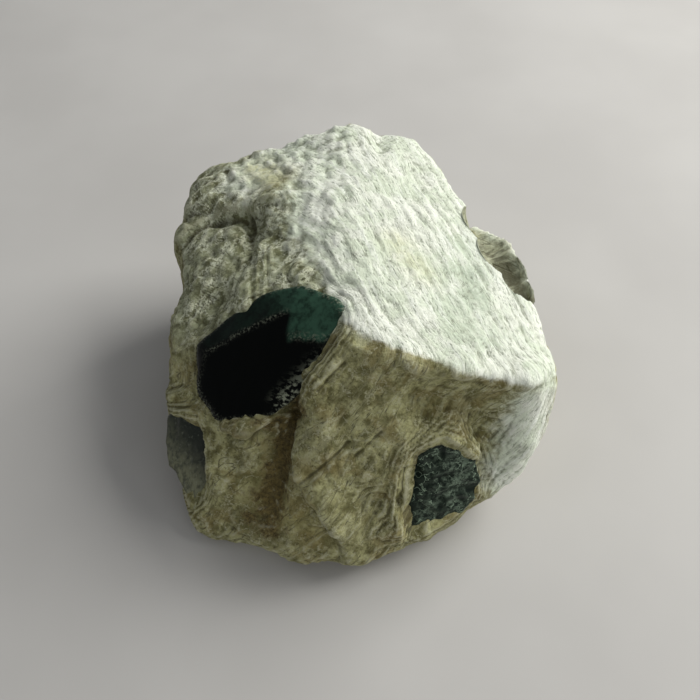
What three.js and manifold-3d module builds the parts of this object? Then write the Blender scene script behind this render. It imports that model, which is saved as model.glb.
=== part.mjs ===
// A loose lump of perlite, the pale hydrated volcanic glass, with three nodules of unaltered obsidian,
// the Apache tears, still seated in it. Millimetres, +Z up. The lump stands on its flat broken base,
// the origin is the middle of its footprint at the base, and -Y is the side that shows the tears.

import * as THREE from "three";
import { ConvexHull } from "three/addons/math/ConvexHull.js";
import { mergeVertices } from "three/addons/utils/BufferGeometryUtils.js";
import Module from "manifold-3d";

const wasm = await Module();
wasm.setup();

// Driving dimensions of the perlite lump
const LUMP_HEART = point(0, 0, 20);
const LUMP_DETAIL = 14;
const LUMP_EDGE_WEAR = 30;
const SWELL_HEIGHT = 0.6;
const SWELL_LENGTH = 19;
const ROUGH_HEIGHT = 0.3;
const ROUGH_LENGTH = 7;

// Corners of the break, before its edges wore round
const LUMP_CORNERS = [
  // the bright upper face, from the back peak clockwise as seen from above
  point(0.5, 40.5, 44),
  point(13, 40, 40),
  point(14.5, 29.5, 37.5),
  point(21.5, 16, 35),
  point(36, -3, 31),
  point(37, -10, 30.5),
  point(31, -18, 34.5),
  point(20.5, -18.5, 37.5),
  point(0.5, -14.5, 41.5),
  point(-8, -0.5, 42),
  point(-13, 39.5, 40),
  // the grey left face
  point(-22, 39.5, 37),
  point(-33, 37, 32),
  point(-34.3, 21, 29.5),
  point(-32.5, -3, 26),
  // the belt round the lump, low on the shown sides
  point(36, -16.5, 21),
  point(32, -21.5, 12),
  point(22.5, -28.5, 8),
  point(9, -35, 4),
  point(0, -38, 4),
  point(-9, -35.5, 5),
  point(-24, -30, 4),
  point(-29, -30, 1),
  point(-32, -22.5, 8),
  point(-34.6, -11.5, 17),
  // the belt round the back
  point(-35, 5, 11),
  point(-35, 31, 13),
  point(-18, 41, 15),
  point(6, 41.5, 16),
  point(23, 27, 14),
  point(31.5, 8, 13),
  // the foot, carried below the base so that the base cuts it flat
  point(-26, -27, -3),
  point(0, -31, -3),
  point(20, -23, -3),
  point(29, -10, -3),
  point(27, 12, -3),
  point(14, 31, -3),
  point(-10, 33, -3),
  point(-27, 26, -3),
  point(-30, 0, -3),
];

// Hollows (negative heights), ridges and ledges, each a line from one point to another with a width
const LUMP_STROKES = [
  // the hollow under the front ridge, the valley beside the small tear and the ridge that bounds them
  { from: point(16, -17.5, 28.5), to: point(24.5, -17.5, 27), width: 5, height: -4.2 },
  { from: point(25, -19, 23), to: point(25.5, -22, 14), width: 2.8, height: -2.4 },
  { from: point(29.5, -16.5, 30), to: point(29, -21.5, 12), width: 2.6, height: 1.4 },
  // the stained recess below the large tear, and the plate that stands beside it
  { from: point(-10.5, -19.5, 26), to: point(-14, -26, 12), width: 3.4, height: -4 },
  { from: point(-4.5, -21, 27), to: point(-3.5, -27, 17), width: 2.8, height: 1.1 },
  // the collar round the foot of the large tear
  { from: point(-3, -15.5, 35.5), to: point(-8.5, -19, 30), width: 1.9, height: 1.2 },
  { from: point(-8.5, -19, 30), to: point(-19, -20.5, 20), width: 1.9, height: 1.7 },
  // the lip over the side tear
  { from: point(-33, -10, 19), to: point(-26, -18, 20), width: 2.4, height: 1.4 },
  { from: point(-26, -18, 20), to: point(-22, -24, 10), width: 2.4, height: 1.5 },
  // the step and the groove on the left face, and the notch beside the peak
  { from: point(-31.7, 25.3, 29.3), to: point(-17, 17, 37.5), width: 2.4, height: -1.3 },
  { from: point(-19, 19.3, 36.2), to: point(-17.8, 7.1, 36.7), width: 2.4, height: -1.3 },
  { from: point(6, 37, 41.5), to: point(6, 33, 41.5), width: 2, height: -1.6 },
  // the broken back and flanks
  { from: point(-8, 38, 32), to: point(8, 38, 10), width: 5, height: 1.8 },
  { from: point(-20, 37, 27), to: point(-22, 36, 12), width: 6, height: -2 },
  { from: point(15, 34, 27), to: point(19, 30, 16), width: 5, height: -1.8 },
  { from: point(-34, 12, 22), to: point(-33, 4, 12), width: 6, height: -1.8 },
  { from: point(-34, 22, 24), to: point(-32, 26, 8), width: 4, height: 1.4 },
  { from: point(33, -6, 22), to: point(31, -2, 10), width: 5, height: -1.6 },
];

// The ledge that stands out on the right: its corners, and the balls that scooped its top
const LEDGE_HEART = point(27, 12, 24);
const LEDGE_DETAIL = 5;
const LEDGE_CORNERS = [
  // the rim
  point(24.5, 25, 28.5),
  point(30.5, 19.5, 29.3),
  point(32.8, 14, 28.8),
  point(34, 7.5, 28.3),
  point(32.5, 0, 29),
  // the underside, running in under the flank of the lump
  point(21, 26, 18),
  point(27, 14, 13),
  point(29, 0, 15),
  // the root, inside the lump
  point(18, 16, 28),
  point(23, 0, 28),
  point(19, 12, 16),
];
const LEDGE_SCOOPS = [
  { middle: point(26.5, 18.5, 33.9), radius: 6.4 },
  { middle: point(29.3, 12, 32.9), radius: 6.1 },
  { middle: point(31.6, 6.5, 31.6), radius: 4.6 },
];
const SCOOP_SIDES = 14;

// The tears: corners of each nodule's flaked faces, then of its round underside in the lump.
// The seat is open towards the side that shows, so its walls stand clear round the tear.
const TEAR_EDGE_WEAR = 30;
const TEAR_SEAT_GAP = 0.45;
const SEAT_OPENING = 8;
const SEAT_LEAN = 0.85;

const LARGE_TEAR = {
  name: "large_tear",
  heart: point(-13, -8, 29),
  outward: point(-0.41, -0.51, 0.76),
  detail: 7,
  corners: [
    // the rim
    point(-27, -5.3, 28.3),
    point(-27, -12.5, 23.6),
    point(-23.2, -17.4, 22.2),
    point(-13.3, -19.2, 26.4),
    point(-9.4, -18, 29.6),
    point(-3.2, -14, 35.8),
    point(0, -11.2, 39.5),
    point(-1, -7, 41.8),
    point(-7.9, -2.4, 40.7),
    point(-14.2, -1.3, 37.8),
    point(-20.8, -2.7, 33.2),
    // the ridges between the three shown faces
    point(-24.8, -7.9, 29.5),
    point(-18.5, -7.1, 34),
    point(-10.3, -6.7, 39.2),
    point(-9.7, -10.7, 37.3),
    point(-3.7, -12, 38.5),
    // the underside
    point(-20, 2, 22),
    point(-8, 5, 27),
    point(-1, -4, 29),
    point(-6, -9, 22),
    point(-17, -9, 17),
    point(-10, 0, 18),
  ],
};

const SMALL_TEAR = {
  name: "small_tear",
  heart: point(15, -20.5, 15.5),
  outward: point(0, -0.94, 0.32),
  detail: 5,
  corners: [
    // the rim
    point(9.6, -23.5, 23),
    point(12.2, -22.7, 25),
    point(15.2, -22.4, 25.5),
    point(19, -23, 23.5),
    point(21.6, -24.1, 20.4),
    point(22.7, -25.7, 15.7),
    point(21.7, -27.5, 11.2),
    point(18.9, -28.7, 9),
    point(15, -30.3, 7.4),
    point(11, -31.8, 6),
    point(9, -30.4, 9.5),
    point(9, -27.3, 12.6),
    point(9, -25.3, 18.3),
    // the flaked faces
    point(12.5, -26, 20.7),
    point(17.6, -25.7, 20.3),
    point(17.2, -28, 14),
    point(11.4, -28.9, 12.1),
    // the underside
    point(10, -17, 16),
    point(20, -17, 15),
    point(15, -15, 19),
    point(15, -15, 11),
  ],
};

const SIDE_TEAR = {
  name: "side_tear",
  heart: point(-25, -15.5, 12.5),
  outward: point(-0.75, -0.6, 0.25),
  detail: 5,
  corners: [
    // the shown face, proud of the lump on the left
    point(-33.2, -12, 17),
    point(-34, -17, 12),
    point(-31.5, -21.7, 7.5),
    point(-28, -25, 4.5),
    point(-30.5, -18.5, 13.5),
    // the same face where it runs in under the lip
    point(-29, -13.5, 18.5),
    point(-25, -16.5, 17),
    point(-24.5, -21, 11.5),
    point(-24.5, -23.5, 8),
    // the underside
    point(-19, -17, 13),
    point(-20, -11, 12),
    point(-26, -8.5, 11),
    point(-23, -12, 18),
    point(-22, -15, 5),
  ],
};

const TEARS = [LARGE_TEAR, SMALL_TEAR, SIDE_TEAR];

// Finishes: chalky rock, then glass that is glossy where it broke clean and dull where it is filmed over
const PERLITE_FINISH = { color: 0xc3c6ad, roughness: 0.85 };
const OBSIDIAN_FINISHES = {
  large_tear: { color: 0x070d0c, roughness: 0.15 },
  small_tear: { color: 0x18211e, roughness: 0.45 },
  side_tear: { color: 0x27302b, roughness: 0.5 },
};

function point(x, y, z) {
  return new THREE.Vector3(x, y, z);
}

// The flat faces of the break that has these corners: outward normals, and how far each lies from the heart
function brokenFaces(corners, heart) {
  const hull = new ConvexHull().setFromPoints(corners);
  return hull.faces.map((face) => ({
    normal: face.normal.clone(),
    reach: -face.distanceToPoint(heart),
  }));
}

// Distance along a ray to the broken faces, with the edges between them worn round:
// a soft minimum of the distances to the single faces
function wornReach(faces, ray, wear) {
  let sum = 0;
  for (const { normal, reach } of faces) {
    const lean = normal.dot(ray) / reach;
    if (lean > 0) sum += lean ** wear;
  }
  return sum ** (-1 / wear);
}

// Waves of one length from directions spread evenly over the sphere, summed to a height near 1
function swell(spot, length, shift) {
  const WAVES = 7;
  const TURN = Math.PI * (3 - Math.sqrt(5));
  let sum = 0;
  for (let wave = 0; wave < WAVES; wave++) {
    const rise = 1 - (2 * wave + 1) / WAVES;
    const flat = Math.sqrt(1 - rise * rise);
    const turn = TURN * (wave + shift);
    const along = flat * (spot.x * Math.cos(turn) + spot.y * Math.sin(turn)) + rise * spot.z;
    sum += Math.sin((2 * Math.PI * along) / length + turn * wave);
  }
  return sum / Math.sqrt(WAVES);
}

// Height of a hollow or ridge at a spot: full on its line, and falling away as a bell curve beside it
function strokeHeight({ from, to, width, height }, spot) {
  const nearest = new THREE.Line3(from, to).closestPointToPoint(spot, true, new THREE.Vector3());
  return height * Math.exp(-nearest.distanceToSquared(spot) / width ** 2);
}

// The same shape with its shared vertices merged, and nothing kept but their places
function welded(geometry) {
  geometry.deleteAttribute("normal");
  geometry.deleteAttribute("uv");
  return mergeVertices(geometry);
}

// A ball whose every vertex is pushed out along its ray to the given reach
function starGeometry(heart, detail, reachAlong) {
  const geometry = welded(new THREE.IcosahedronGeometry(1, detail));
  const spots = geometry.getAttribute("position");
  for (let i = 0; i < spots.count; i++) {
    const ray = new THREE.Vector3().fromBufferAttribute(spots, i).normalize();
    const spot = ray.clone().multiplyScalar(reachAlong(ray)).add(heart);
    spots.setXYZ(i, spot.x, spot.y, spot.z);
  }
  return geometry;
}

function lumpGeometry() {
  const faces = brokenFaces(LUMP_CORNERS, LUMP_HEART);
  return starGeometry(LUMP_HEART, LUMP_DETAIL, (ray) => {
    const reach = wornReach(faces, ray, LUMP_EDGE_WEAR);
    const spot = ray.clone().multiplyScalar(reach).add(LUMP_HEART);
    const uneven =
      SWELL_HEIGHT * swell(spot, SWELL_LENGTH, 1) + ROUGH_HEIGHT * swell(spot, ROUGH_LENGTH, 5);
    return LUMP_STROKES.reduce((sum, stroke) => sum + strokeHeight(stroke, spot), reach + uneven);
  });
}

function tearGeometry({ heart, detail, corners }) {
  const faces = brokenFaces(corners, heart);
  return starGeometry(heart, detail, (ray) => wornReach(faces, ray, TEAR_EDGE_WEAR));
}

// The space a tear takes out of the lump: the tear with a gap all round, drawn out to the open side
// between walls that lean in over it
function seatGeometry({ heart, outward, detail, corners }) {
  const opened = corners.map((corner) =>
    heart.clone().lerp(corner, SEAT_LEAN).addScaledVector(outward, SEAT_OPENING),
  );
  const faces = brokenFaces([...corners, ...opened], heart);
  return starGeometry(heart, detail, (ray) => wornReach(faces, ray, TEAR_EDGE_WEAR) + TEAR_SEAT_GAP);
}

function ledgeGeometry() {
  const faces = brokenFaces(LEDGE_CORNERS, LEDGE_HEART);
  return starGeometry(LEDGE_HEART, LEDGE_DETAIL, (ray) => wornReach(faces, ray, LUMP_EDGE_WEAR));
}

function scoopGeometry({ middle, radius }) {
  return welded(new THREE.SphereGeometry(radius, SCOOP_SIDES, SCOOP_SIDES)).translate(...middle);
}

function solidOf(geometry) {
  return new wasm.Manifold(
    new wasm.Mesh({
      numProp: 3,
      vertProperties: geometry.getAttribute("position").array,
      triVerts: new Uint32Array(geometry.index.array),
    }),
  );
}

function geometryOf(solid) {
  const mesh = solid.getMesh();
  return new THREE.BufferGeometry()
    .setAttribute("position", new THREE.BufferAttribute(mesh.vertProperties, 3))
    .setIndex(new THREE.BufferAttribute(mesh.triVerts, 1));
}

// What lies under the base: a block that cuts the foot of the lump off flat
function groundGeometry() {
  const SIDE = 200;
  return welded(new THREE.BoxGeometry(SIDE, SIDE, SIDE)).translate(0, 0, -SIDE / 2);
}

// The lump with its ledge, cut flat at the base and scooped on the ledge, with a seat for each tear
function seatedLump() {
  const whole = solidOf(lumpGeometry()).add(solidOf(ledgeGeometry()));
  const cuts = [groundGeometry(), ...LEDGE_SCOOPS.map(scoopGeometry), ...TEARS.map(seatGeometry)];
  return geometryOf(cuts.reduce((lump, cut) => lump.subtract(solidOf(cut)), whole));
}

function piece(name, geometry, finish) {
  const mesh = new THREE.Mesh(geometry, new THREE.MeshStandardMaterial({ ...finish, metalness: 0 }));
  mesh.name = name;
  return mesh;
}

const specimen = new THREE.Group();
specimen.add(piece("perlite_matrix", seatedLump(), PERLITE_FINISH));
for (const tear of TEARS) {
  specimen.add(piece(tear.name, tearGeometry(tear), OBSIDIAN_FINISHES[tear.name]));
}

export default specimen;
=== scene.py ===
import itertools

import bmesh
import bpy
import numpy as np
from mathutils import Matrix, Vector


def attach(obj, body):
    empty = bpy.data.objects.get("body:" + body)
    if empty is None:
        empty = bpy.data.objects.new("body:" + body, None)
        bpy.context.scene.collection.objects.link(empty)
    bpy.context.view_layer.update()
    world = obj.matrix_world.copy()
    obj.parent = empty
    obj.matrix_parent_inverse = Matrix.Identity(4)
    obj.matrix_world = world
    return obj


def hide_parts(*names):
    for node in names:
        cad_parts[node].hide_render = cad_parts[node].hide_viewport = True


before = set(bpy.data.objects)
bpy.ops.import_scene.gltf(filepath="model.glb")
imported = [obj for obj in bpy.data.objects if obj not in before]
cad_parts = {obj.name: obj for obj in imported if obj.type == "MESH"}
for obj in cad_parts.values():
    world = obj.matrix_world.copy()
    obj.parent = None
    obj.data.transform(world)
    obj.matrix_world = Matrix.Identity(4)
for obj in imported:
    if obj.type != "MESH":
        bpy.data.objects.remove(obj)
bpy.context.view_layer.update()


# The large tear
# The biggest of three nodules of obsidian, glass that stayed whole while the lava round it took up water.
# It is broken across: a black main face, a duller face at its upper right and a bevel along its top edge.

MM = 0.001  # sizes here are in millimetres, and the frame is in metres

LARGE_HEART = np.array((-13.0, -8.0, 29.0))
LARGE_OUTWARD = (-0.41, -0.51, 0.76)
LARGE_CORNERS = [
    # the rim
    (-27, -5.3, 28.3), (-27, -12.5, 23.6), (-23.2, -17.4, 22.2), (-13.3, -19.2, 26.4), (-9.4, -18, 29.6),
    (-3.2, -14, 35.8), (0, -11.2, 39.5), (-1, -7, 41.8), (-7.9, -2.4, 40.7), (-14.2, -1.3, 37.8),
    (-20.8, -2.7, 33.2),
    # the ridges between the shown faces
    (-24.8, -7.9, 29.5), (-18.5, -7.1, 34), (-10.3, -6.7, 39.2), (-9.7, -10.7, 37.3), (-3.7, -12, 38.5),
    # the underside
    (-20, 2, 22), (-8, 5, 27), (-1, -4, 29), (-6, -9, 22), (-17, -9, 17), (-10, 0, 18),
]
LARGE_CELLS = 60
LARGE_WEAR = 70


def unit(vectors):
    """Vectors divided by their lengths."""
    vectors = np.asarray(vectors, float)
    return vectors / np.linalg.norm(vectors, axis=-1, keepdims=True)


def face_rays(front, right, across, rise):
    """A grid of rays through one face of a cube, on two angles.

    The ray is front plus tan(across) to the right plus tan(rise) upwards, brought to length 1.
    """
    upwards = np.cross(front, right)
    run, climb = np.meshgrid(np.tan(across), np.tan(rise), indexing="ij")
    return unit(front + run[..., None] * np.array(right) + climb[..., None] * upwards)


def welded(patches):
    """Several grids of points as one list of points, equal ones made one, and the squares between them."""
    squares = []
    first = 0
    for patch in patches:
        number = first + np.arange(patch.shape[0] * patch.shape[1]).reshape(patch.shape[:2])
        corners = (number[:-1, :-1], number[1:, :-1], number[1:, 1:], number[:-1, 1:])
        squares.append(np.stack(corners, axis=-1).reshape(-1, 4))
        first += number.size
    points = np.concatenate([patch.reshape(-1, 3) for patch in patches])
    kept, number = np.unique(np.round(points, 7) + 0.0, axis=0, return_inverse=True)
    return kept, number.ravel()[np.concatenate(squares)]


def ball_rays(cells):
    """Rays all round: the six faces of a cube, each cut into cells by cells squares at even angles."""
    even = np.linspace(-np.pi / 4, np.pi / 4, cells + 1)
    sides = [((1, 0, 0), (0, 1, 0)), ((0, 1, 0), (-1, 0, 0)), ((-1, 0, 0), (0, -1, 0)),
             ((0, -1, 0), (1, 0, 0)), ((0, 0, 1), (1, 0, 0)), ((0, 0, -1), (0, 1, 0))]
    return welded([face_rays(front, right, even, even) for front, right in sides])


def broken_faces(corners, heart):
    """The flat faces of the convex hull of some corners: normals, and distances from the heart."""
    hull = bmesh.new()
    for corner in corners:
        hull.verts.new(np.subtract(corner, heart))
    bmesh.ops.convex_hull(hull, input=hull.verts)
    hull.normal_update()
    normals = np.array([face.normal for face in hull.faces])
    reaches = np.array([face.normal.dot(face.verts[0].co) for face in hull.faces])
    hull.free()
    return normals * np.sign(reaches)[:, None], np.abs(reaches)


def worn_reach(rays, faces, wear):
    """Distance along each ray to faces round the start, their edges worn round.

    A face's lean is the cosine between its normal and the ray over its distance. The reach is the
    soft minimum of the distances: the sum of the leans to the power wear, to the power -1 / wear.
    """
    normals, reaches = faces
    lean = np.clip(rays @ (normals / reaches[:, None]).T, 0, None)
    return (lean**wear).sum(axis=1) ** (-1 / wear)


def grain(spots, size, seed):
    """Smooth noise, mostly between -1 and 1, with lumps of the given size, or sizes for the three axes.

    Each corner of a lattice has a random slope, and a spot blends the eight slopes round it.
    """
    period = 32
    slopes = np.random.default_rng(seed).normal(size=(period, period, period, 3))
    place = spots / size
    low = np.floor(place).astype(int)
    part = place - low
    ease = part**3 * (part * (part * 6 - 15) + 10)
    total = np.zeros(len(spots))
    for corner in itertools.product((0, 1), repeat=3):
        slope = slopes[tuple(((low + corner) % period).T)]
        weight = np.where(corner, ease, 1 - ease).prod(axis=1)
        total += weight * (slope * (part - corner)).sum(axis=1)
    return total


def normals_of(spots, squares):
    """Normal at each spot: the sum of its squares' normals, each the cross product of the diagonals."""
    corner = spots[squares]
    across = np.cross(corner[:, 2] - corner[:, 0], corner[:, 3] - corner[:, 1])
    sums = [np.bincount(squares.ravel(), np.repeat(across[:, axis], 4), len(spots)) for axis in range(3)]
    return unit(np.stack(sums, axis=1))


def stand_out(spots, squares, normals):
    """How far each spot stands out of the mean of its neighbours, along its normal."""
    start = squares.ravel()
    end = np.roll(squares, -1, axis=1).ravel()
    ends = np.concatenate((start, end))
    others = spots[np.concatenate((end, start))]
    count = np.bincount(ends, minlength=len(spots))
    mean = np.stack([np.bincount(ends, others[:, axis], len(spots)) for axis in range(3)], axis=1)
    return ((spots - mean / count[:, None]) * normals).sum(axis=1)


def ramp_up(value, low, high):
    """0 below low, 1 above high, and a smooth cubic between."""
    share = np.clip((value - low) / (high - low), 0, 1)
    return share * share * (3 - 2 * share)


def from_line(spots, points):
    """The way to each spot from the nearest place on a line of points."""
    nearest = np.full(len(spots), np.inf)
    way = np.zeros((len(spots), 3))
    for start, end in itertools.pairwise(np.array(points, float)):
        run = end - start
        share = np.clip((spots - start) @ run / (run @ run), 0, 1)
        offset = spots - start - share[:, None] * run
        squared = (offset**2).sum(axis=1)
        way = np.where((squared < nearest)[:, None], offset, way)
        nearest = np.minimum(nearest, squared)
    return way


def along_strokes(spots, strokes):
    """The sum of each stroke's height times exp(-(distance / width)^2), by distance to its line of points."""
    total = np.zeros(len(spots))
    for points, width, height in strokes:
        squared = (from_line(spots, points) ** 2).sum(axis=1)
        total += height * np.exp(-squared / width**2)
    return total


def make_piece(name, spots, squares, marks, floor_ring=()):
    """A smooth shaded mesh object from spots in millimetres, with marks kept as attributes of the points."""
    mesh = bpy.data.meshes.new(name)
    mesh.vertices.add(len(spots))
    mesh.vertices.foreach_set("co", (spots * MM).ravel())
    starts = np.arange(len(squares)) * 4
    if len(floor_ring):
        starts = np.append(starts, squares.size)
    corners = np.concatenate((squares.ravel(), np.array(floor_ring, int)))
    mesh.loops.add(len(corners))
    mesh.loops.foreach_set("vertex_index", corners)
    mesh.polygons.add(len(starts))
    mesh.polygons.foreach_set("loop_start", starts)
    mesh.update(calc_edges=True)
    mesh.shade_smooth()
    for label, values in marks.items():
        kind, field = ("FLOAT", "value") if values.ndim == 1 else ("FLOAT_VECTOR", "vector")
        stored = mesh.attributes.new(label, kind, "POINT")
        stored.data.foreach_set(field, values.astype(np.float32).ravel())
    piece = bpy.data.objects.new(name, mesh)
    bpy.context.scene.collection.objects.link(piece)
    return piece


def add_node(tree, kind, inputs=None, **settings):
    """Adds a node with its settings, and gives each named or numbered input a value or a link."""
    made = tree.nodes.new(kind)
    for name, value in settings.items():
        setattr(made, name, value)
    for key, value in (inputs or {}).items():
        if isinstance(value, bpy.types.NodeSocket):
            tree.links.new(value, made.inputs[key])
        else:
            made.inputs[key].default_value = value
    return made


def mark(tree, name, field="Fac"):
    """Reads an attribute of the mesh."""
    return add_node(tree, "ShaderNodeAttribute", attribute_name=name).outputs[field]


def combine(tree, operation, first, second):
    """A Math node of two values."""
    return add_node(tree, "ShaderNodeMath", {0: first, 1: second}, operation=operation).outputs[0]


def stretch(tree, vector, factors):
    """A vector times a factor for each axis."""
    inputs = {0: vector, 1: factors}
    return add_node(tree, "ShaderNodeVectorMath", inputs, operation="MULTIPLY").outputs[0]


def in_millimetres(tree):
    """Object coordinates in millimetres."""
    place = add_node(tree, "ShaderNodeTexCoord").outputs["Object"]
    return stretch(tree, place, (1 / MM, 1 / MM, 1 / MM))


def noise(tree, vector, detail, roughness):
    """A Noise Texture of lumps of size 1."""
    inputs = {"Vector": vector, "Scale": 1.0, "Detail": detail, "Roughness": roughness}
    return add_node(tree, "ShaderNodeTexNoise", inputs).outputs["Fac"]


def between(tree, value, low, high, start=0.0, end=1.0):
    """A value carried from low..high to start..end, clamped, with a smooth step."""
    inputs = {"Value": value, "From Min": low, "From Max": high, "To Min": start, "To Max": end}
    return add_node(tree, "ShaderNodeMapRange", inputs, interpolation_type="SMOOTHSTEP").outputs[0]


def blend(tree, share, first, second):
    """Two colours mixed by a share."""
    inputs = {0: share, 6: first, 7: second}
    return add_node(tree, "ShaderNodeMix", inputs, data_type="RGBA").outputs[2]


def colour(red, green, blue):
    """A colour with full alpha, from linear values."""
    return (red, green, blue, 1.0)


def finish(name, paint):
    """A material whose Principled shader gets its inputs from a paint function of the node tree."""
    material = bpy.data.materials.new(name)
    material.use_nodes = True
    tree = material.node_tree
    shader = next(node for node in tree.nodes if node.type == "BSDF_PRINCIPLED")
    for key, value in paint(tree).items():
        if isinstance(value, bpy.types.NodeSocket):
            tree.links.new(value, shader.inputs[key])
        else:
            shader.inputs[key].default_value = value
    return material


LARGE_STRIKE = np.array((-13.0, -18.5, 26.5))
# Where the painted sheen lies: the duller face, right of and above its lower left corner, and the bevel.
LARGE_TEAL_CORNER = np.array((-9.7, -10.7, 37.3))
LARGE_TEAL_RIGHT = unit((0.95, 0, 0.3))
LARGE_TEAL_UP = unit((0.09, 0.87, 0.48))
LARGE_BEVEL_SIDE = unit((-0.1, 0.1, 0.99))
LARGE_FROST = [([(-11.5, -18.1, 28.6), (-4, -14.3, 35.2)], 1.5, 1.0)]
# Pale lines along the ridges between the shown faces: painted highlights on the edges.
LARGE_RIDGE_HIGHLIGHTS = [
    ([(-24.8, -7.9, 29.5), (-18.5, -7.1, 34), (-10.3, -6.7, 39.2)], 0.45, 0.8),
    ([(-9.7, -10.7, 37.3), (-3.7, -12, 38.5), (0, -11.2, 39.5), (-1, -7, 41.8)], 0.6, 0.8),
]


def large_tear_shape():
    """A ball of rays pushed out to the worn faces, then gentle waves of the break and chips on its edges.

    The duller face is what lies right of and above two lines from its lower left corner.
    """
    rays, squares = ball_rays(LARGE_CELLS)
    faces = broken_faces(LARGE_CORNERS, LARGE_HEART)
    spots = LARGE_HEART + rays * worn_reach(rays, faces, LARGE_WEAR)[:, None]
    normals = normals_of(spots, squares)
    edge = ramp_up(stand_out(spots, squares, normals), 0.008, 0.035)
    strike = np.linalg.norm(spots - LARGE_STRIKE, axis=1)
    ripple = 0.05 * np.sin(2 * np.pi * strike / 2.6) * np.exp(-strike / 9)
    waves = 0.12 * grain(spots, 6.0, 21) + 0.03 * grain(spots, 1.6, 22)
    chips = -0.3 * edge * np.clip(grain(spots, 1.3, 23), 0, None)
    spots = spots + normals * (ripple + waves + chips)[:, None]
    out = spots - LARGE_TEAL_CORNER
    out = out + 0.9 * grain(spots, 2.2, 24)[:, None]
    # The duller face and the upward bevel are marked for a green-blue painted sheen, a reflection of the sky.
    teal = ramp_up(out @ LARGE_TEAL_RIGHT, -0.5, 0.5) * ramp_up(out @ LARGE_TEAL_UP, -0.5, 0.5)
    bevel = ramp_up(normals @ LARGE_BEVEL_SIDE, 0.82, 0.93)
    marks = {
        # edge: proud edges and ridges, painted pale as chips and as highlights
        "edge": np.maximum(edge, along_strokes(spots, LARGE_RIDGE_HIGHLIGHTS)),
        "dull_and_sheen": np.maximum(teal, 0.8 * bevel),
        "frost": along_strokes(spots, LARGE_FROST),
    }
    return spots, squares, marks


def large_tear_paint(tree):
    """Black glass, with a green-blue painted sheen on the duller upper faces, pale chips and painted
    highlights on the edges, and a frosted lower edge.
    """
    place = in_millimetres(tree)
    specks = noise(tree, stretch(tree, place, (2.4, 2.4, 2.4)), 4.0, 0.7)
    cloud = noise(tree, stretch(tree, place, (0.5, 0.5, 0.5)), 5.0, 0.65)
    scratches = noise(tree, stretch(tree, place, (0.7, 1.3, 1.3)), 4.0, 0.65)
    # The green-blue of the upper faces is painted sheen, a painted reflection of the sky; the faces are also
    # rougher.
    dull_and_sheen = combine(tree, "MULTIPLY", mark(tree, "dull_and_sheen"), between(tree, cloud, 0.35, 0.6, 0.35, 1.0))
    body = blend(tree, dull_and_sheen, colour(0.0006, 0.0012, 0.0009), colour(0.03, 0.072, 0.048))
    # Pale specks on the edges: chips, and painted highlights along the ridges.
    chipped = combine(tree, "MULTIPLY", mark(tree, "edge"), between(tree, specks, 0.48, 0.62))
    frosted = combine(tree, "MULTIPLY", mark(tree, "frost"), between(tree, scratches, 0.47, 0.58))
    pale = combine(tree, "MAXIMUM", combine(tree, "MULTIPLY", chipped, 0.6), frosted)
    gloss = between(tree, dull_and_sheen, 0.0, 1.0, 0.08, 0.45)
    rough = add_node(tree, "ShaderNodeMix", {0: pale, 2: gloss, 3: 0.6}, data_type="FLOAT").outputs[0]
    bump = add_node(tree, "ShaderNodeBump", {"Strength": 0.25, "Distance": 0.1 * MM, "Height": specks})
    return {
        "Base Color": blend(tree, pale, body, colour(0.26, 0.28, 0.21)),
        "Roughness": rough,
        "Normal": bump.outputs[0],
        "IOR": 1.49,
        "Specular IOR Level": 0.08,
    }


large_tear = make_piece("large_tear_glass", *large_tear_shape())
large_tear.data.materials.append(finish("obsidian_black", large_tear_paint))
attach(large_tear, "root")
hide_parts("large_tear")


# The small tear
# A nodule about half the size, low on the front, flaked all over and dulled by a film of pale mineral.
# It sits in its seat in the lump, between a broken wall on its left and thin shells on its right.

SMALL_HEART = np.array((15.0, -20.5, 15.5))
SMALL_OUTWARD = (0, -0.7, 0.71)
SMALL_CORNERS = [
    # the rim
    (9.6, -23.5, 23), (12.2, -22.7, 25), (15.2, -22.4, 25.5), (19, -23, 23.5), (21.6, -24.1, 20.4),
    (22.7, -25.7, 15.7), (21.7, -27.5, 11.2), (18.9, -28.7, 9), (15, -30.3, 7.4), (11, -31.8, 6),
    (9, -30.4, 9.5), (9, -27.3, 12.6), (9, -25.3, 18.3),
    # the flaked faces
    (12.5, -26, 20.7), (17.6, -25.7, 20.3), (17.2, -28, 14), (11.4, -28.9, 12.1),
    # the underside
    (10, -17, 16), (20, -17, 15), (15, -15, 19), (15, -15, 11),
]
SMALL_CELLS = 48
SMALL_WEAR = 50
# The pale film lies on the upper right faces, where the light falls, so it is partly painted light.
SMALL_FILM_AND_LIGHT = [([(17.5, -25, 21), (18.5, -27, 15), (15, -29, 11)], 4.2, 1.0)]


def small_tear_shape():
    """A ball of rays pushed out to the worn faces, with shallow flakes and a rough film."""
    rays, squares = ball_rays(SMALL_CELLS)
    faces = broken_faces(SMALL_CORNERS, SMALL_HEART)
    spots = SMALL_HEART + rays * worn_reach(rays, faces, SMALL_WEAR)[:, None]
    normals = normals_of(spots, squares)
    edge = ramp_up(stand_out(spots, squares, normals), 0.01, 0.05)
    flakes = -0.6 * np.abs(grain(spots, 3.4, 31)) + 0.14 * grain(spots, 1.2, 32)
    marks = {"edge": edge, "film_and_light": along_strokes(spots, SMALL_FILM_AND_LIGHT)}
    return spots + normals * flakes[:, None], squares, marks


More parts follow.
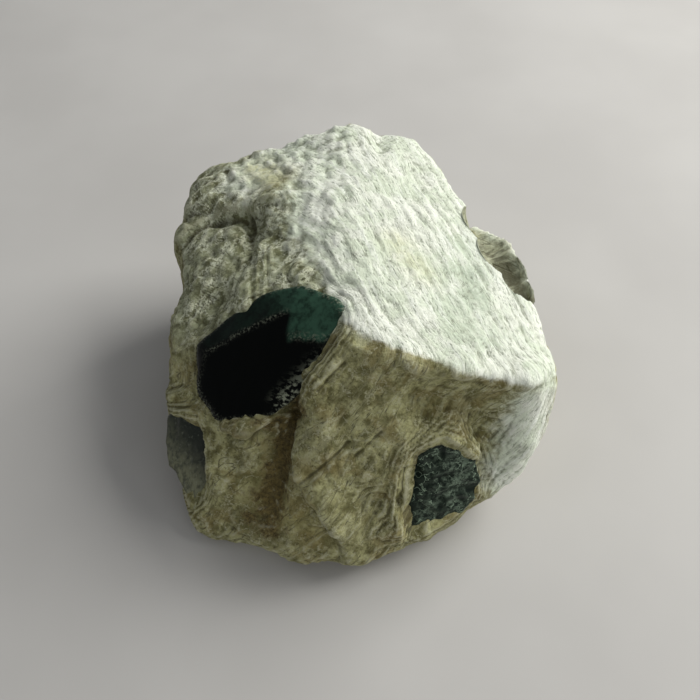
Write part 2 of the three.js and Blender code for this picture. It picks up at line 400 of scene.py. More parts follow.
def small_tear_paint(tree):
    """Green-black glass under a blotched pale film, with thin pale veins; the film on the lit upper right
    faces is partly painted light.
    """
    place = in_millimetres(tree)
    blotch = noise(tree, stretch(tree, place, (0.35, 0.35, 0.35)), 4.0, 0.6)
    fine = noise(tree, stretch(tree, place, (1.1, 1.1, 1.1)), 6.0, 0.72)
    vein = noise(tree, stretch(tree, place, (0.5, 0.5, 0.5)), 3.0, 0.55)
    line = combine(tree, "ABSOLUTE", combine(tree, "SUBTRACT", vein, 0.5), 0.0)
    veins = between(tree, line, 0.0, 0.018, 0.9, 0.0)
    veins = combine(tree, "MULTIPLY", veins, between(tree, blotch, 0.42, 0.55))
    # The film: pale mineral, and painted light on the upper right faces.
    film_and_light = combine(tree, "MULTIPLY", mark(tree, "film_and_light"), between(tree, blotch, 0.38, 0.6, 0.15, 1.0))
    film_and_light = combine(tree, "MULTIPLY", film_and_light, between(tree, fine, 0.4, 0.6, 0.02, 0.5))
    chipped = combine(tree, "MULTIPLY", mark(tree, "edge"), between(tree, fine, 0.45, 0.6, 0.0, 0.5))
    pale = combine(tree, "MAXIMUM", combine(tree, "MAXIMUM", film_and_light, veins), chipped)
    bump = add_node(tree, "ShaderNodeBump", {"Strength": 0.5, "Distance": 0.15 * MM, "Height": fine})
    return {
        "Base Color": blend(tree, pale, colour(0.002, 0.007, 0.004), colour(0.29, 0.38, 0.28)),
        "Roughness": between(tree, pale, 0.0, 1.0, 0.3, 0.7),
        "Normal": bump.outputs[0],
        "IOR": 1.49,
        "Specular IOR Level": 0.1,
    }


small_tear = make_piece("small_tear_glass", *small_tear_shape())
small_tear.data.materials.append(finish("obsidian_filmed", small_tear_paint))
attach(small_tear, "root")
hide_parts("small_tear")


# The side tear
# A third nodule under a lip of the lump on the left, with a streaked face, darkest under the lip.
# Its lower part passes into grey-green perlite, so its colour fades that way; its dark upper part is partly
# painted shade.

SIDE_HEART = np.array((-25.0, -15.5, 12.5))
SIDE_OUTWARD = (-0.75, -0.6, 0.25)
SIDE_CORNERS = [
    # the shown face, proud of the lump on the left
    (-33.2, -12, 17), (-34, -17, 12), (-31.5, -21.7, 7.5), (-28, -25, 4.5), (-30.5, -18.5, 13.5),
    # the same face where it runs in under the lip
    (-29, -13.5, 18.5), (-25, -16.5, 17), (-24.5, -21, 11.5), (-24.5, -23.5, 8),
    # the underside
    (-19, -17, 13), (-20, -11, 12), (-26, -8.5, 11), (-23, -12, 18), (-22, -15, 5),
]
SIDE_CELLS = 48
SIDE_WEAR = 30


def side_tear_shape():
    """A ball of rays pushed out to the worn faces, with flutes that run down the face."""
    rays, squares = ball_rays(SIDE_CELLS)
    faces = broken_faces(SIDE_CORNERS, SIDE_HEART)
    spots = SIDE_HEART + rays * worn_reach(rays, faces, SIDE_WEAR)[:, None]
    normals = normals_of(spots, squares)
    flutes = 0.3 * grain(spots, (1.3, 1.3, 7.0), 41) + 0.25 * grain(spots, 3.0, 42)
    # Paler towards the bottom and left, where the face passes into perlite; the dark upper part, under the
    # lip, is partly painted shade.
    paler_low_left = ramp_up(-0.5 * spots[:, 0] - 0.9 * spots[:, 2], -1.0, 8.0)
    return spots + normals * flutes[:, None], squares, {"paler_low_left": paler_low_left}


def side_tear_paint(tree):
    """Green-black glass with pale streaks down it, passing to grey-green below; the dark upper part, under
    the lip, is partly painted shade.
    """
    place = in_millimetres(tree)
    streaks = noise(tree, stretch(tree, place, (1.3, 1.3, 0.16)), 5.0, 0.65)
    fine = noise(tree, stretch(tree, place, (2.2, 2.2, 0.6)), 4.0, 0.65)
    share = combine(tree, "MULTIPLY", mark(tree, "paler_low_left"), between(tree, streaks, 0.35, 0.6, 0.3, 1.0))
    body = blend(tree, share, colour(0.008, 0.013, 0.007), colour(0.2, 0.205, 0.13))
    pale = combine(tree, "MULTIPLY", between(tree, fine, 0.55, 0.75), 0.35)
    bump = add_node(tree, "ShaderNodeBump", {"Strength": 0.6, "Distance": 0.15 * MM, "Height": streaks})
    return {
        "Base Color": blend(tree, pale, body, colour(0.3, 0.32, 0.26)),
        "Roughness": between(tree, share, 0.0, 1.0, 0.35, 0.75),
        "Normal": bump.outputs[0],
        "IOR": 1.49,
        "Specular IOR Level": 0.4,
    }


side_tear = make_piece("side_tear_glass", *side_tear_shape())
side_tear.data.materials.append(finish("obsidian_streaked", side_tear_paint))
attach(side_tear, "root")
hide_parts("side_tear")


# The perlite lump
# The pale rock that holds the tears: the same lava, turned to perlite by water, in flow bands.
# It is one broken piece: a bright upper face, a grey left face, a shaded front and a scooped ledge.

LUMP_HEART = np.array((0.0, 1.0, 13.0))
LUMP_CORNERS = [
    # the bright upper face, from the back peak clockwise as seen from above
    (0.5, 40.5, 44), (13, 40, 40), (14.5, 29.5, 37.5), (21.5, 16, 35), (36, -3, 31), (37, -10, 30.5),
    (31, -18, 34.5), (20.5, -18.5, 37.5), (0.5, -14.5, 41.5), (-8, -0.5, 42), (-13, 39.5, 40),
    # the grey left face
    (-22, 39.5, 37), (-33, 37, 32), (-34.3, 21, 29.5), (-32.5, -3, 26),
    # the belt round the lump, low on the shown sides
    (36, -16.5, 21), (32, -21.5, 12), (22.5, -28.5, 8), (9, -35, 4), (0, -38, 4), (-9, -35.5, 5),
    (-24, -30, 4), (-29, -30, 1), (-32, -22.5, 8), (-34.6, -11.5, 17),
    # the belt round the back
    (-35, 5, 11), (-35, 31, 13), (-18, 41, 15), (6, 41.5, 16), (23, 27, 14), (31.5, 8, 13),
    # the foot, carried below the base so that the base cuts it flat
    (-26, -27, -3), (0, -31, -3), (20, -23, -3), (29, -10, -3), (27, 12, -3), (14, 31, -3), (-10, 33, -3),
    (-27, 26, -3), (-30, 0, -3),
]
LUMP_WEAR = 34
LUMP_RADIUS = 30
LUMP_ACROSS = 150
LUMP_DOWN = 124
LUMP_LOWEST = np.radians(38)

LEDGE_CORNERS = [
    # the rim
    (24.5, 25, 28.5), (30.5, 19.5, 29.3), (32.8, 14, 28.8), (34, 7.5, 28.3), (32.5, 0, 29),
    # the underside
    (21, 26, 18), (27, 14, 13), (29, 0, 15),
    # the root, inside the lump
    (18, 16, 28), (23, 0, 28), (19, 12, 16),
]
LEDGE_HEART = (27, 12, 24)
LEDGE_SCOOPS = [((26.5, 18.5, 33.9), 6.4), ((28.6, 12, 32.9), 6.4), ((31, 6.5, 31.7), 4.9)]

# Large hollows and ridges, as points of a line, a width and a height
LUMP_STROKES = [
    # the ridge above the front, the hollow under it and the valley beside the small tear
    ([(9.4, -17, 38), (16.6, -17.2, 36.3), (24.2, -17.9, 34), (28.4, -16.3, 33)], 1.8, 0.8),
    ([(12, -19.3, 33.8), (18, -19.4, 32.6), (25, -19.6, 30.5)], 2.6, -1.7),
    ([(15, -20.5, 31), (25, -21, 27)], 5, -3.4),
    ([(25, -22.3, 23), (24.5, -25.5, 14)], 2.8, -2.2),
    ([(29.5, -17, 29), (29, -22, 13)], 2.6, 1.2),
    # the stained recess below the large tear, and the plate that stands beside it
    ([(-10.5, -19.5, 26), (-14, -26, 12)], 3.2, -3.8),
    ([(-4.5, -21, 28), (-3.5, -27, 18), (-2.5, -31.5, 13)], 2.8, 1.3),
    # the collar round the foot of the large tear, and the plug of rock over its lower edge
    ([(-3, -15.5, 35.5), (-8.5, -19, 30), (-19, -20.5, 20)], 1.9, 1.2),
    ([(-20, -17.5, 22.5), (-13.5, -19, 24.2)], 2.2, 3.6),
    # the lip over the side tear
    ([(-33, -10, 19), (-26, -18, 20), (-22, -24, 10)], 2.4, 1.5),
    # the step and the groove on the left face, and the notch beside the peak
    ([(-31.7, 25.3, 29.3), (-17, 17, 37.5)], 2.0, -1.6),
    ([(-19, 19.3, 36.2), (-17.8, 7.1, 36.7)], 2.0, -1.5),
    ([(6, 37, 41.5), (6, 33, 41.5)], 2, -1.6),
    # the broken back and flanks
    ([(-8, 38, 32), (8, 38, 10)], 5, 1.8),
    ([(-20, 37, 27), (-22, 36, 12)], 6, -2),
    ([(15, 34, 27), (19, 30, 16)], 5, -1.8),
    ([(-34, 12, 22), (-33, 4, 12)], 6, -1.8),
    ([(-34, 22, 24), (-32, 26, 8)], 4, 1.4),
    ([(33, -6, 22), (31, -2, 10)], 5, -1.6),
]
LUMP_CRACKS = [
    ([(-8.1, -26.3, 17.5), (-3.8, -24.6, 22.6), (-0.3, -22.8, 25.3)], 0.5, -0.7),
    ([(1, -24.1, 23.8), (4.9, -22.4, 27.5)], 0.45, -0.5),
    ([(-21, -18.4, 19.8), (-19, -19.9, 21), (-16.5, -20.6, 21.2), (-11.7, -18.3, 24.4)], 0.6, -1.0),
    ([(-5.1, -18.2, 33.1), (-2.7, -16.7, 35.1), (-1, -15.7, 36.5)], 0.45, -0.6),
    ([(-30.7, 18.8, 30.2), (-25.8, 21.1, 32.7), (-18.7, 19.2, 35.8), (-13, 17.5, 39)], 0.6, -0.9),
    ([(-18.7, 19.2, 35.8), (-18, 8.6, 35.7)], 0.5, -0.7),
    ([(9.1, -26.6, 21.8), (8.4, -29.2, 16.3), (9.6, -29.6, 9.5)], 0.7, -0.9),
]
# Broken steps, as points of a line, the side that stands higher, a width, a reach and a height
LUMP_STEPS = [
    # the edge of the plate on the front
    ([(-8, -21.5, 23.5), (-8.5, -22.3, 20.4), (-8.1, -26.3, 17.5), (-4.9, -30, 15.2), (-2.4, -32.5, 11)],
     (0.9, -0.3, 0.3), 0.4, 5.0, 1.9),
    # the drop below the ridge
    ([(9.4, -17.4, 37.3), (12.6, -18, 36.2), (16.6, -17.7, 35.4), (20.7, -17.6, 34.6), (24.2, -18.3, 33.2),
      (28.4, -17, 32)], (0, 0.3, 0.95), 0.5, 4.0, 1.0),
    # the wall on the left of the small tear
    ([(9.1, -24.5, 24), (8.2, -27, 21.8), (7.6, -29.4, 16.3), (8.6, -30.6, 9.5)], (-1, 0, 0), 0.3, 3.5, 0.8),
    # the step on the left face
    ([(-30.7, 18.8, 30.2), (-25.8, 21.1, 32.7), (-18.7, 19.2, 35.8), (-13, 17.5, 39)],
     (0, 1, 0), 0.4, 6.0, 1.2),
]
LUMP_STAINS_AND_SHADE = [
    ([(-9.5, -19.5, 29), (-11, -20.5, 21), (-13, -25, 13)], 2.8, 1.0),
    ([(-20, -17.5, 22.5), (-13.5, -19, 24.2)], 2.2, 0.45),
    ([(-18, -27.5, 8), (-13, -29.5, 8)], 2.4, 0.6),
    # painted shade in the hollow under the ridge
    ([(19, -20.5, 29), (24, -20.5, 28)], 2.5, 0.3),
]
LUMP_MINTS = [
    ([(21, 8, 36), (20, -2, 37), (22, -9, 36.5)], 7.0, 0.8),
]
LUMP_STRAWS = [
    ([(-18, 31, 37.8), (-14, 25, 39.5)], 3.4, 1.1),
    ([(11.9, 2, 39.5), (8, 8, 40.5)], 3.0, 0.5),
    ([(-15, -27, 12), (-6, -30, 10)], 4.0, 0.6),
]
PLUG_COVER = [([(-19.5, -17.5, 22.8), (-13.5, -19, 24.4)], 2.2, 4.0)]
SEAT_OPENING = 8
SEAT_LEAN = 0.95
SEAT_WEAR = 30
SEAT_SINK = 1.0
SEAT_LIP = 0.9
LEDGE_ROUND = 3.0

BAND_ACROSS = unit((-0.65, -0.40, 0.65))
BAND_ALONG = unit(np.cross(BAND_ACROSS, (0.21, 0.01, 0.98)))
BAND_DEPTH = np.cross(BAND_ACROSS, BAND_ALONG)
# Faces that turn towards the light, and the patches below, get the pale upper colours: the rock's own cream,
# and painted light.
PALE_AND_LIT_SIDE = unit((0.5, 0.05, 0.86))
SHAGGY_SIDE = unit((-0.5, 0.12, 0.86))
PALE_AND_LIT_PATCHES = [
    ([(-18, 29, 37.5), (-10, 34, 40.5), (-5, 36, 42), (-6, 12, 42)], 7.0, 1.0),
    ([(-18, 30, 37.8), (-11, 33, 40)], 4.5, 0.6),
    ([(-3, 4, 42), (1.5, -9, 41)], 3.2, 0.6),
    # a painted highlight on the ledge's rim
    ([(25, 24, 28.5), (30.5, 19.5, 29.3), (34, 7.5, 28.3)], 1.6, 0.7),
    # painted light on the right front face, which faces the light
    ([(31, -17, 28), (29.5, -20.5, 20), (28.5, -22.5, 13)], 5.0, 1.2),
]
MINT = colour(0.55, 0.63, 0.5)
STAIN_AND_SHADE_DARK = colour(0.06, 0.04, 0.01)
STAIN_AND_SHADE_OCHRE = colour(0.17, 0.12, 0.03)
SHINGLE = 2.3
SHINGLE_RISE = 0.8


def dome_rays(across, down, lowest):
    """Rays over a dome: a cube's top face, and its four sides down to the lowest angle.

    Also returns the squares between them and the ring of rays along the lower edge.
    """
    even = np.linspace(-np.pi / 4, np.pi / 4, across + 1)
    rise = np.linspace(-lowest, np.pi / 4, down + 1)
    fronts = [(1, 0, 0), (0, 1, 0), (-1, 0, 0), (0, -1, 0)]
    sides = [face_rays(front, np.cross((0, 0, 1), front), even, rise) for front in fronts]
    rays, squares = welded([face_rays((0, 0, 1), (1, 0, 0), even, even), *sides])
    first = across * across
    lower = squares[first:].reshape(4, across, down, 4)[:, :, 0, 0].ravel()
    return rays, squares, lower[::-1]


def through(rays, start, faces, heart):
    """Where each ray from the start enters and leaves the convex body with these faces round its heart."""
    normals, reaches = faces
    slope = rays @ normals.T
    far = reaches - normals @ (start - heart)
    meets = far / np.where(np.abs(slope) < 1e-9, 1e-9, slope)
    enter = np.where(slope < 0, meets, -np.inf).max(axis=1)
    leave = np.where(slope > 0, meets, np.inf).min(axis=1)
    return enter, leave


def scooped(spots, middle, radius):
    """Spots inside a ball carried straight out from its middle to its surface."""
    away = spots - np.array(middle)
    length = np.linalg.norm(away, axis=1)
    return middle + away * (np.maximum(length, radius) / length)[:, None]


def on_ball(points):
    """Points carried along their rays from the lump's heart to a ball of the lump's usual size."""
    return LUMP_HEART + LUMP_RADIUS * unit(np.subtract(points, LUMP_HEART))


def on_surface(drawn):
    """Lines of points, each with its sizes, carried to that ball to meet the surface above them."""
    return [(on_ball(points), *sizes) for points, *sizes in drawn]


def seat_gap(spots, corners, heart, outward):
    """Distance of each spot from the open seat of a tear, roughened a little: below 0 inside it.

    The seat is the hull of the tear and of a smaller tear moved outwards, with worn edges.
    """
    shift = heart + SEAT_OPENING * np.array(outward)
    opened = [shift + SEAT_LEAN * np.subtract(corner, heart) for corner in corners]
    away = spots - heart
    reach = worn_reach(unit(away), broken_faces([*corners, *opened], heart), SEAT_WEAR)
    return np.linalg.norm(away, axis=1) - reach + 0.3 * grain(spots, 1.8, 53)


def sunk_under(spots, gap, corners, heart):
    """Spots inside a seat drawn to just under the tear's faces, towards its heart, over a short lip."""
    away = spots - heart
    length = np.linalg.norm(away, axis=1)
    floor = worn_reach(unit(away), broken_faces(corners, heart), SEAT_WEAR) - SEAT_SINK
    share = ramp_up(-gap, 0.0, SEAT_LIP)
    return heart + away * (1 + share * (np.minimum(floor / length, 1) - 1))[:, None]


def flow_of(spots, gaps):
    """Places across and along the flow bands: gently waved planes that bend to rings round the tears."""
    across = spots @ BAND_ACROSS + 0.9 * grain(spots, 18.0, 51) + 0.12 * grain(spots, 4.0, 52)
    for gap in gaps:
        near = np.exp(-((np.clip(gap, 0, None) / 2.6) ** 2))
        rim = (across * near).sum() / near.sum()
        across = across + near * (rim - gap - across)
    return np.stack((across, spots @ BAND_ALONG, spots @ BAND_DEPTH), axis=1)


def along_steps(spots, steps):
    """The sum of the steps, each raising one side of its line of points.

    The height is times half of 1 + tanh(way to the side / width), and times exp(-(distance / reach)^2).
    """
    total = np.zeros(len(spots))
    for points, side, width, reach, height in steps:
        way = from_line(spots, points)
        raised = 0.5 + 0.5 * np.tanh(way @ unit(side) / width)
        total += height * raised * np.exp(-(way**2).sum(axis=1) / reach**2)
    return total


def terraced(value, tread):
    """Values gathered on flat treads with short smooth ramps between, as rock breaks in steps."""
    part = value / tread
    low = np.floor(part)
    return tread * (low + ramp_up(part - low, 0.3, 0.7))


def saw(phase, rise):
    """A saw that climbs from 0 to 1 over the rise, as a share of each turn, and falls over the rest."""
    part = phase - np.floor(phase)
    return np.where(part < rise, part / rise, (1 - part) / (1 - rise))


def perlite_shape():
    """The lump as a star of rays from its heart.

    The reach is the worn hull of the corners plus strokes, joined with the ledge and cut by the base, and
    balls scoop the ledge. Fine relief then moves each spot along its normal: lumps with creases between
    them, shingles that break along the flow bands, rings round the tears, cracks and steps. Last, the seats
    are sunk under the tears.
    """
    rays, squares, ring = dome_rays(LUMP_ACROSS, LUMP_DOWN, LUMP_LOWEST)
    reach = worn_reach(rays, broken_faces(LUMP_CORNERS, LUMP_HEART), LUMP_WEAR)
    hull = LUMP_HEART + rays * reach[:, None]
    reach = reach + along_strokes(hull, LUMP_STROKES) + 0.8 * grain(hull, 15.0, 61)
    enter, leave = through(rays, LUMP_HEART, broken_faces(LEDGE_CORNERS, LEDGE_HEART), np.array(LEDGE_HEART))
    ledge = ramp_up(leave - enter, 0.0, LEDGE_ROUND) * np.clip(leave - reach, 0, None)
    reach = reach + ledge
    base = np.where(rays[:, 2] < 0, LUMP_HEART[2] / np.clip(-rays[:, 2], 1e-9, None), np.inf)
    spots = LUMP_HEART + rays * np.minimum(reach, base)[:, None]
    whole = spots
    for middle, radius in LEDGE_SCOOPS:
        spots = scooped(spots, middle, radius)
    moved = np.linalg.norm(spots - whole, axis=1)
    # calm: the ledge and the scooped places, kept free of fine relief; their even grey is partly painted
    # shade.
    calm = 0.6 * np.maximum(0.5 * ramp_up(ledge, 0.2, 1.0), ramp_up(moved, 0.05, 0.5))

    tears = [
        (LARGE_CORNERS, LARGE_HEART, LARGE_OUTWARD),
        (SMALL_CORNERS, SMALL_HEART, SMALL_OUTWARD),
        (SIDE_CORNERS, SIDE_HEART, SIDE_OUTWARD),
    ]
    gaps = [seat_gap(spots, *tear) for tear in tears]
    gaps[0] = gaps[0] + along_strokes(on_ball(spots), on_surface(PLUG_COVER))
    near = np.clip(np.min(gaps, axis=0), 0, None)
    normals = normals_of(spots, squares)
    flow = flow_of(hull, gaps)
    facing = normals_of(hull, squares)
    # Pale where the faces turn towards the light and on the patches: the rock's own cream, and painted light.
    pale_and_lit = ramp_up(facing @ PALE_AND_LIT_SIDE, 0.66, 0.92) + along_strokes(spots, PALE_AND_LIT_PATCHES)
    shaggy = ramp_up(facing @ SHAGGY_SIDE, 0.78, 0.94)

    lumps = terraced(1.1 * grain(spots, 7.5, 64), 0.4) + 0.4 * (0.3 - np.abs(grain(spots, 3.6, 65)))
    lumps = lumps * (1 - 0.45 * np.minimum(pale_and_lit, 1))
    pits = (0.13 + 0.3 * shaggy) * grain(spots, 1.9, 66)
    patchy = 0.25 + 0.75 * ramp_up(grain(spots, 7.0, 67), -0.3, 0.5)
    shingles = 0.3 * patchy * saw(flow[:, 0] / SHINGLE + 0.5 * grain(spots, 6.0, 68), SHINGLE_RISE)
    threads = 0.14 * grain(flow, (0.95, 7.0, 7.0), 63)
    rings = 0.16 * np.sin(2 * np.pi * near / 1.2) * np.exp(-near / 2.6)
    groove = -0.3 * np.exp(-((near / 0.4) ** 2))
    ball = on_ball(spots)
    cracks = along_strokes(ball, on_surface(LUMP_CRACKS)) + along_steps(ball, on_surface(LUMP_STEPS))
    relief = lumps + pits + shingles + threads + rings + groove + cracks
    relief = relief * ramp_up(spots[:, 2], 0.0, 1.5) * (1 - calm)
    spots = spots + normals * relief[:, None]
    spots[:, 2] = np.clip(spots[:, 2], 0, None)
    for (corners, heart, _), gap in zip(tears, gaps):
        spots = sunk_under(spots, gap, corners, heart)

    proud = stand_out(spots, squares, normals_of(spots, squares))
    marks = {
        "flow": flow,
        "pale_and_lit": np.minimum(pale_and_lit, 1),
        "calm": calm,
        "shaggy": shaggy,
        "stain_and_shade": along_strokes(ball, on_surface(LUMP_STAINS_AND_SHADE)),
        "straw": along_strokes(spots, LUMP_STRAWS),
        "mint": along_strokes(spots, LUMP_MINTS),
        # hollow: above 0 in concave places, for painted shade, and below 0 on proud edges, for painted
        # highlights.
        "hollow": np.clip(-proud / 0.1, -1, 1),
    }
    return spots, squares, marks, ring


def lines(tree, vector, width):
    """Thin lines where a noise passes its middle value."""
    value = noise(tree, vector, 3.0, 0.6)
    off = combine(tree, "ABSOLUTE", combine(tree, "SUBTRACT", value, 0.5), 0.0)
    return between(tree, off, 0.0, width, 1.0, 0.0)


def both(tree, *shares):
    """The product of some shares."""
    total = shares[0]
    for share in shares[1:]:
        total = combine(tree, "MULTIPLY", total, share)
    return total


def cell_edges(tree, place, bend):
    """The edges between rounded cells about 4 mm across, bent by a noise."""
    bent = add_node(tree, "ShaderNodeVectorMath", {0: place, 1: combine(tree, "MULTIPLY", bend, 9.0)})
    inputs = {"Vector": stretch(tree, bent.outputs[0], (0.27, 0.27, 0.27)), "Scale": 1.0}
    cells = add_node(tree, "ShaderNodeTexVoronoi", inputs, feature="DISTANCE_TO_EDGE")
    return between(tree, cells.outputs["Distance"], 0.0, 0.16, 1.0, 0.0)


def perlite_paint(tree):
    """Three faces of one rock, in marks of its points.

    The upper face is white to mint with small dark specks drawn out along the flow bands, the front is olive
    with pale veins and dark grit, and the left is grey cells with pale crumbly edges. Stains lie over all,
    one of them painted shade under the ridge. The pale upper colours go where the faces turn to the light, so
    they are partly painted light, and the dark and pale colours come in lit and shaded copies. Hollows get
    painted shade, proud edges painted highlights, and the ledge an even grey that is partly painted shade.
    """
    flow = mark(tree, "flow", "Vector")
    place = in_millimetres(tree)
    cloud = noise(tree, stretch(tree, place, (0.16, 0.16, 0.16)), 4.0, 0.6)
    mottle = noise(tree, stretch(tree, place, (0.38, 0.38, 0.38)), 6.0, 0.7)
    grit = noise(tree, stretch(tree, place, (1.8, 1.8, 1.8)), 6.0, 0.74)
    salt = noise(tree, stretch(tree, flow, (3.4, 0.8, 0.8)), 3.0, 0.7)
    streaks = noise(tree, stretch(tree, flow, (1.5, 0.1, 0.1)), 5.0, 0.7)
    slits = lines(tree, stretch(tree, flow, (0.75, 0.05, 0.05)), 0.014)
    slits = both(tree, slits, between(tree, mottle, 0.45, 0.6))
    veins = lines(tree, stretch(tree, place, (0.3, 0.3, 0.3)), 0.03)
    veins = both(tree, veins, between(tree, grit, 0.4, 0.6))
    edges = cell_edges(tree, place, mottle)

    # The pale upper colours: the rock's own cream, and painted light where the faces turn to the light.
    top = blend(tree, between(tree, cloud, 0.42, 0.6), colour(0.74, 0.8, 0.65), colour(0.88, 0.9, 0.8))
    top = blend(tree, both(tree, mark(tree, "mint"), between(tree, cloud, 0.35, 0.6, 1.0, 0.3)), top, MINT)
    top = blend(tree, between(tree, streaks, 0.5, 0.66, 0.0, 0.6), top, colour(0.94, 0.96, 0.9))
    top = blend(tree, between(tree, streaks, 0.38, 0.45, 0.5, 0.0), top, colour(0.5, 0.54, 0.42))
    top = blend(tree, between(tree, salt, 0.36, 0.45, 0.75, 0.0), top, colour(0.3, 0.33, 0.24))

    patches = between(tree, mottle, 0.38, 0.62)
    front = blend(tree, patches, colour(0.15, 0.14, 0.05), colour(0.47, 0.455, 0.225))
    front = blend(tree, between(tree, cloud, 0.5, 0.62, 0.0, 0.45), front, colour(0.27, 0.21, 0.075))
    front = blend(tree, between(tree, streaks, 0.52, 0.66, 0.0, 0.35), front, colour(0.5, 0.49, 0.31))
    front = blend(tree, both(tree, veins, 0.65), front, colour(0.6, 0.59, 0.41))
    front = blend(tree, between(tree, grit, 0.34, 0.45, 0.75, 0.0), front, colour(0.07, 0.06, 0.02))

    left = blend(tree, between(tree, mottle, 0.4, 0.6), colour(0.17, 0.175, 0.085), colour(0.41, 0.43, 0.27))
    crumbs = both(tree, edges, between(tree, grit, 0.4, 0.54), between(tree, cloud, 0.4, 0.58, 0.25, 1.0))
    left = blend(tree, crumbs, left, colour(0.82, 0.84, 0.66))
    left = blend(tree, between(tree, grit, 0.34, 0.46, 0.8, 0.0), left, colour(0.05, 0.05, 0.028))

    # lit mixes in the pale upper colours as painted light, and picks the lit or shaded copy of the colours
    # below.
    lit = combine(tree, "ADD", mark(tree, "pale_and_lit"), between(tree, mottle, 0.35, 0.65, -0.25, 0.25))
    lit = between(tree, lit, 0.1, 0.9)
    base = blend(tree, mark(tree, "shaggy"), front, left)
    base = blend(tree, lit, base, top)
    # An even grey on the ledge and in its scoops, partly painted shade of the scoops.
    base = blend(tree, mark(tree, "calm"), base, colour(0.58, 0.61, 0.48))
    straw = both(tree, mark(tree, "straw"), between(tree, mottle, 0.35, 0.6, 0.4, 1.0))
    base = blend(tree, straw, base, blend(tree, lit, colour(0.34, 0.29, 0.1), colour(0.74, 0.74, 0.47)))
    # Lit and shaded copies of the dark colour of slits and hollows and of the pale edge colour: painted light
    # and shade.
    dark_and_shade = blend(tree, lit, colour(0.06, 0.05, 0.018), colour(0.24, 0.26, 0.18))
    pale = blend(tree, lit, colour(0.6, 0.59, 0.42), colour(0.93, 0.95, 0.87))
    base = blend(tree, both(tree, slits, 0.8), base, dark_and_shade)
    # Brown stains, and painted shade in the hollow under the ridge.
    stain_and_shade = combine(tree, "ADD", mark(tree, "stain_and_shade"), between(tree, mottle, 0.3, 0.7, -0.35, 0.35))
    stain_and_shade = between(tree, stain_and_shade, 0.25, 0.75, 0.0, 0.9)
    base = blend(tree, stain_and_shade, base, blend(tree, between(tree, grit, 0.4, 0.6), STAIN_AND_SHADE_DARK, STAIN_AND_SHADE_OCHRE))
    # Painted shade in the hollows and painted highlights on the proud edges.
    base = blend(tree, between(tree, mark(tree, "hollow"), 0.0, 1.0, 0.0, 0.75), base, dark_and_shade)
    base = blend(tree, between(tree, mark(tree, "hollow"), -1.0, -0.15, 0.55, 0.0), base, pale)

    raised = combine(tree, "ADD", grit, combine(tree, "MULTIPLY", salt, 0.6))
    raised = combine(tree, "ADD", raised, combine(tree, "MULTIPLY", streaks, 0.5))
    raised = combine(tree, "SUBTRACT", raised, combine(tree, "MULTIPLY", slits, 0.4))
    bump = add_node(tree, "ShaderNodeBump", {"Strength": 0.9, "Distance": 0.45 * MM, "Height": raised})
    return {
        "Base Color": base,
        "Roughness": between(tree, grit, 0.3, 0.7, 0.85, 0.6),
        "Normal": bump.outputs[0],
        "Specular IOR Level": 0.35,
    }


perlite = make_piece("perlite_rock", *perlite_shape())
perlite.data.materials.append(finish("perlite_fibrous", perlite_paint))
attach(perlite, "root")
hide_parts("perlite_matrix")


# The floor, the light and the camera
# A plain pale floor under the lump, a large soft light from the right and behind, a weak one from the front
# right, and a dim even sky. The camera looks down on the front at the angle of the picture.

FLOOR_HALF = 1.5
FLOOR_DARK = colour(0.47, 0.455, 0.445)
FLOOR_PALE = colour(0.51, 0.495, 0.485)


def floor_paint(tree):
    """Pale warm grey, very slightly clouded."""
    cloud = noise(tree, stretch(tree, in_millimetres(tree), (0.02, 0.02, 0.02)), 3.0, 0.5)
    return {
        "Base Color": blend(tree, between(tree, cloud, 0.3, 0.7), FLOOR_DARK, FLOOR_PALE),
        "Roughness": 0.8,
        "Specular IOR Level": 0.2,
    }


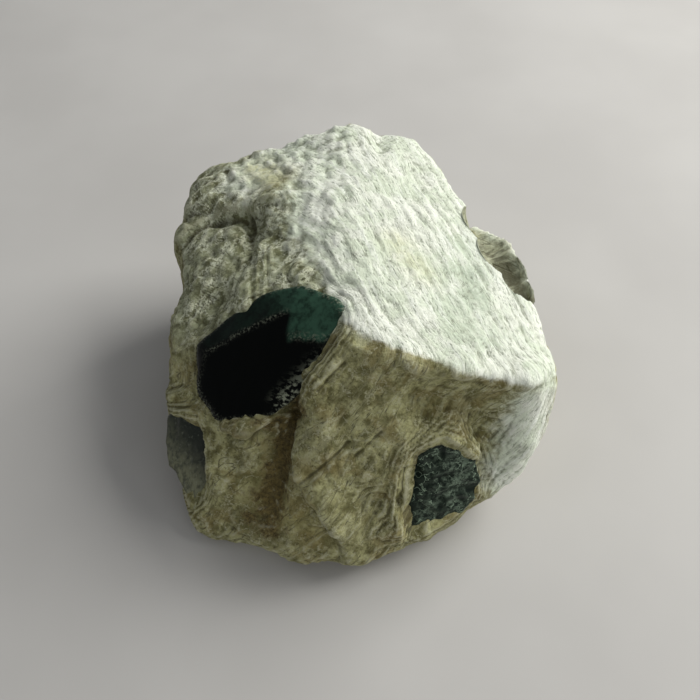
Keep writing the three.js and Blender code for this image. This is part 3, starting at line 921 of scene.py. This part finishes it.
floor_mesh = bpy.data.meshes.new("floor")
floor_corners = [(-FLOOR_HALF, -FLOOR_HALF, 0), (FLOOR_HALF, -FLOOR_HALF, 0), (FLOOR_HALF, FLOOR_HALF, 0),
                 (-FLOOR_HALF, FLOOR_HALF, 0)]
floor_mesh.from_pydata(floor_corners, [], [(0, 1, 2, 3)])
floor = bpy.data.objects.new("floor", floor_mesh)
bpy.context.scene.collection.objects.link(floor)
floor.data.materials.append(finish("floor_pale", floor_paint))

KEY_TOWARDS = Vector((0.72, 0.36, 0.6)).normalized()
KEY_SIDE = 0.5
KEY_POWER = 6.6
FILL_TOWARDS = Vector((0.5, -0.8, 0.35)).normalized()
FILL_SIDE = 0.5
FILL_POWER = 0.9
LIGHT_DISTANCE = 0.7
SKY_STRENGTH = 0.27


def add_light(name, towards, side, power):
    """A square area light that faces the middle of the floor."""
    lamp = bpy.data.lights.new(name, "AREA")
    lamp.size = side
    lamp.energy = power
    lamp.color = (1.0, 1.0, 0.95)
    light = bpy.data.objects.new(name, lamp)
    light.location = towards * LIGHT_DISTANCE
    light.rotation_euler = towards.to_track_quat("Z", "Y").to_euler()
    bpy.context.scene.collection.objects.link(light)


add_light("key", KEY_TOWARDS, KEY_SIDE, KEY_POWER)
add_light("fill", FILL_TOWARDS, FILL_SIDE, FILL_POWER)

sky = bpy.data.worlds.new("sky")
bpy.context.scene.world = sky
sky.use_nodes = True
sky_light = next(node for node in sky.node_tree.nodes if node.type == "BACKGROUND")
sky_light.inputs["Color"].default_value = colour(0.95, 0.98, 1.0)
sky_light.inputs["Strength"].default_value = SKY_STRENGTH

SENSOR = 36.0
IMAGE_SIDE = 700
FOCAL_PIXELS = 800
CAMERA_PLACE = Vector((0, -92.35, 138.2)) * MM
CAMERA_TARGET = Vector((0, 0, 20)) * MM

camera_data = bpy.data.cameras.new("camera")
camera_data.sensor_width = SENSOR
camera_data.lens = SENSOR * FOCAL_PIXELS / IMAGE_SIDE
camera_data.clip_start = 0.005
camera = bpy.data.objects.new("camera", camera_data)
camera.location = CAMERA_PLACE
camera.rotation_euler = (CAMERA_PLACE - CAMERA_TARGET).to_track_quat("Z", "Y").to_euler()
bpy.context.scene.collection.objects.link(camera)
bpy.context.scene.camera = camera
bpy.context.scene.view_settings.view_transform = "Standard"
